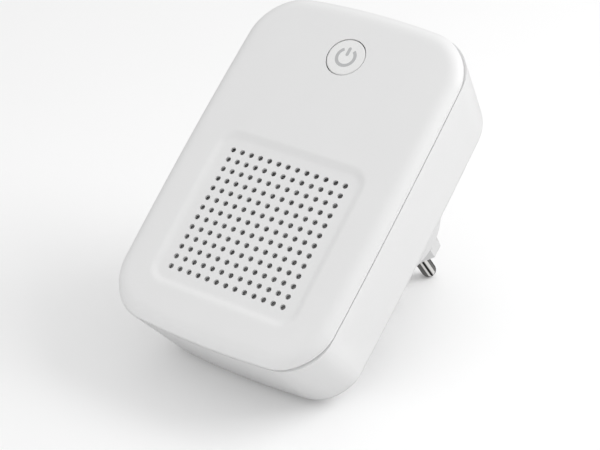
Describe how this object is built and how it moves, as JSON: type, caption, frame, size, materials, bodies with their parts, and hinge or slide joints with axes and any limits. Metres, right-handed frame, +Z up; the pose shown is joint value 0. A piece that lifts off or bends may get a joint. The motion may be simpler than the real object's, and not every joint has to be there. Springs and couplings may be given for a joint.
{
  "type": "ultrasonic pest repeller",
  "caption": "White plug-in ultrasonic pest repeller with a square loudspeaker grille, a round front button and a two-pin mains plug on its back.",
  "frame": {"origin": "midway between the two mains pins, on the flat end face of the plug nose", "axes": "+Z up as plugged into a wall, +Y along the pins into the socket, -Y out of the front grille, +X to the right seen from the back"},
  "size_m": [0.061, 0.0744, 0.0926],
  "materials": {
    "satin_white_shell": "satin white moulded ABS",
    "white_plug": "satin white moulded plastic, slightly greyer than the shell",
    "nickel_pins": "bright nickel plate",
    "button_white": "smooth white plastic",
    "button_grey": "grey translucent insert",
    "dark_plastic": "black moulded plastic",
    "switch_steel": "thin pressed steel cover",
    "screw_steel": "zinc plated steel",
    "board_green": "glass fibre board under green lacquer",
    "tinned_copper": "tinned copper",
    "capacitor_yellow": "yellow moulded box",
    "ferrite_grey": "dark sintered ferrite",
    "coil_tape": "amber polyester tape",
    "can_sleeve": "shrunk dark sleeve",
    "fuse_body": "brown lacquered fuse body",
    "resistor_black": "black film on ceramic",
    "mesh_black": "fine black dust cloth",
    "foam_black": "closed cell foam ring",
    "cone_paper": "pressed paper cone",
    "brass_plate": "thin brass disc",
    "ceramic_silver": "silvered piezo ceramic",
    "lead_red": "red lead insulation",
    "lead_blue": "blue lead insulation",
    "lamp_clear": "water clear green-tinted resin",
    "label_silver": "blank silvered foil label"
  },
  "bodies": {
    "housing": {"bridge_rectifier": "dark_plastic", "button_board": "board_green", "button_board_screws": "screw_steel", "case_screws": "screw_steel", "controller_chip": "dark_plastic", "drive_transistors": "dark_plastic", "dust_mesh": "mesh_black", "front_cover": "satin_white_shell", "fuse": "fuse_body", "indicator_led": "lamp_clear", "link_header": "dark_plastic", "link_pins": "tinned_copper", "live_lead": "lead_red", "live_pin": "nickel_pins", "main_board": "board_green", "main_board_screws": "screw_steel", "mains_capacitor": "capacitor_yellow", "neutral_lead": "lead_blue", "neutral_pin": "nickel_pins", "piezo_ceramic": "ceramic_silver", "piezo_plate": "brass_plate", "plug_body": "white_plug", "plug_body_screws": "screw_steel", "rating_label": "label_silver", "rear_housing": "satin_white_shell", "reservoir_capacitors": "can_sleeve", "resistors": "resistor_black", "switch_body": "dark_plastic", "switch_plate": "switch_steel", "transformer_coil": "coil_tape", "transformer_core": "ferrite_grey", "tweeter_back_cap": "dark_plastic", "tweeter_cone": "cone_paper", "tweeter_frame": "dark_plastic", "tweeter_gasket": "foam_black", "tweeter_leads": "lead_red", "tweeter_screws": "screw_steel", "tweeter_terminals": "tinned_copper"},
    "button": {"button_cap": "button_white", "button_window": "button_grey", "switch_plunger": "dark_plastic"}
  },
  "joints": [
    {"name": "button_press", "type": "slide", "parent": "housing", "child": "button", "axis": [0, 1, 0], "range_m": [0, 0.0005], "stiffness_N_per_m": 1800}
  ]
}
